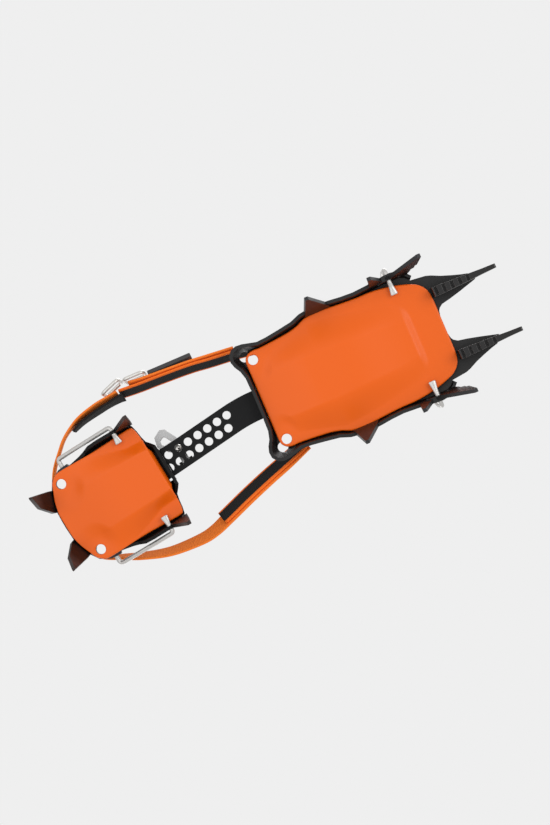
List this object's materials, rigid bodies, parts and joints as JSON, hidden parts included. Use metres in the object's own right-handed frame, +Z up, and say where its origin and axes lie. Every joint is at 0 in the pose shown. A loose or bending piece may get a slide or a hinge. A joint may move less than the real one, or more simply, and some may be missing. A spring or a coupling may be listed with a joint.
{
  "type": "mountaineering crampon",
  "caption": "Hinged two-section boot crampon with steel ground and front points, orange anti-snow plates, a sliding length bar, wire bails, a heel lever and a buckled ankle strap.",
  "frame": {"origin": "midway between the two toe plate holes, on the sole plane, which is the top of the webs", "axes": "+X to the toe along the toe section, +Y to the left of the wearer, +Z up with the crampon standing on its points"},
  "size_m": [0.3489, 0.1301, 0.0801],
  "materials": {
    "black_steel": "satin black coating on pressed steel",
    "orange_plastic": "semi-gloss moulded elastomer",
    "bar_black": "matte black coating on spring steel",
    "bright_steel": "bright plated steel",
    "wire_steel": "drawn stainless wire",
    "slate_plastic": "matte moulded plastic",
    "orange_webbing": "ribbed woven webbing",
    "black_webbing": "ribbed woven webbing"
  },
  "bodies": {
    "toe": {"toe_frame": "black_steel", "front_point_left": "black_steel", "front_point_right": "black_steel", "front_point_rivets": "bright_steel", "toe_plate": "orange_plastic", "link_bar": "bar_black"},
    "heel": {"heel_frame": "black_steel", "heel_plate": "orange_plastic", "lock_hinge_pin": "bright_steel", "strap_back": "orange_webbing", "strap_front": "black_webbing", "strap_tail": "orange_webbing", "strap_fold": "black_webbing", "buckle_frame": "bright_steel", "buckle_ring": "bright_steel", "strap_tab": "slate_plastic"},
    "lock": {"lock_lever": "bright_steel", "lock_pin": "bright_steel"},
    "toe_wire": {"toe_bail": "wire_steel"},
    "heel_wire": {"heel_bail": "wire_steel", "heel_cradle": "slate_plastic", "lever_hinge_pin": "bright_steel"},
    "lever": {"heel_lever": "slate_plastic"}
  },
  "joints": [
    {"name": "heel_slide", "type": "slide", "parent": "toe", "child": "heel", "axis": [0.9813, -0.1925, 0], "range_m": [-0.016, 0.04]},
    {"name": "lock_hinge", "type": "hinge", "parent": "heel", "child": "lock", "pos_m": [-0.06911, 0.01689, 0.0032], "axis": [-0.9898, 0.1426, 0], "range_deg": [-15, 25]},
    {"name": "toe_bail_hinge", "type": "hinge", "parent": "toe", "child": "toe_wire", "pos_m": [0.106, 0, -0.0105], "axis": [0, 1, 0], "range_deg": [-35, 70]},
    {"name": "heel_bail_hinge", "type": "hinge", "parent": "heel", "child": "heel_wire", "pos_m": [-0.1018, 0.01588, -0.0105], "axis": [0.1426, 0.9898, 0], "range_deg": [0, 88], "deforming": ["strap_back", "strap_front", "strap_tail", "strap_fold"]},
    {"name": "heel_lever_hinge", "type": "hinge", "parent": "heel_wire", "child": "lever", "pos_m": [-0.13792, 0.02109, 0.0054], "axis": [-0.1426, -0.9898, 0], "range_deg": [0, 110]}
  ]
}
